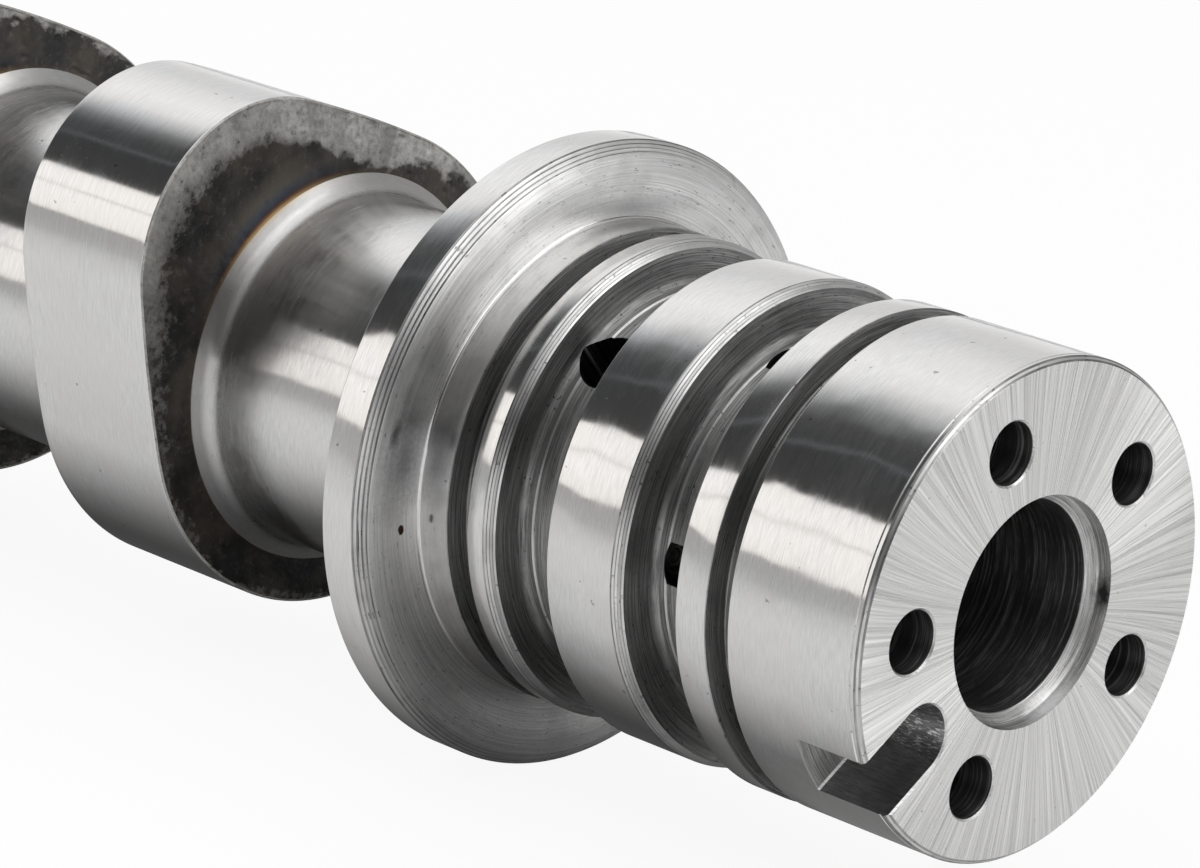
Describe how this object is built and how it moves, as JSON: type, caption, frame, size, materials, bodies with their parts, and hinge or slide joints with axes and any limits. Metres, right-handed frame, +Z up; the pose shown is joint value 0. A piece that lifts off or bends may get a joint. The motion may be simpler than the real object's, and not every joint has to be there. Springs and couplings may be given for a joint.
{
  "type": "camshaft",
  "caption": "One-piece cast camshaft: grooved front journal with bolt bore and oil passages, thrust flange, paired lobes at quarter-turn steps, ground journals and a plain rear end.",
  "frame": {"origin": "centre of the front face, on the shaft axis", "axes": "+X along the shaft axis towards the drive end, +Z up as the shaft lies at rest"},
  "size_m": [0.4272, 0.0462, 0.0462],
  "materials": {
    "iron": "ground bright on lands, journals and lobes, rough as cast between them"
  },
  "bodies": {
    "root": {"camshaft": "iron"}
  },
  "joints": []
}
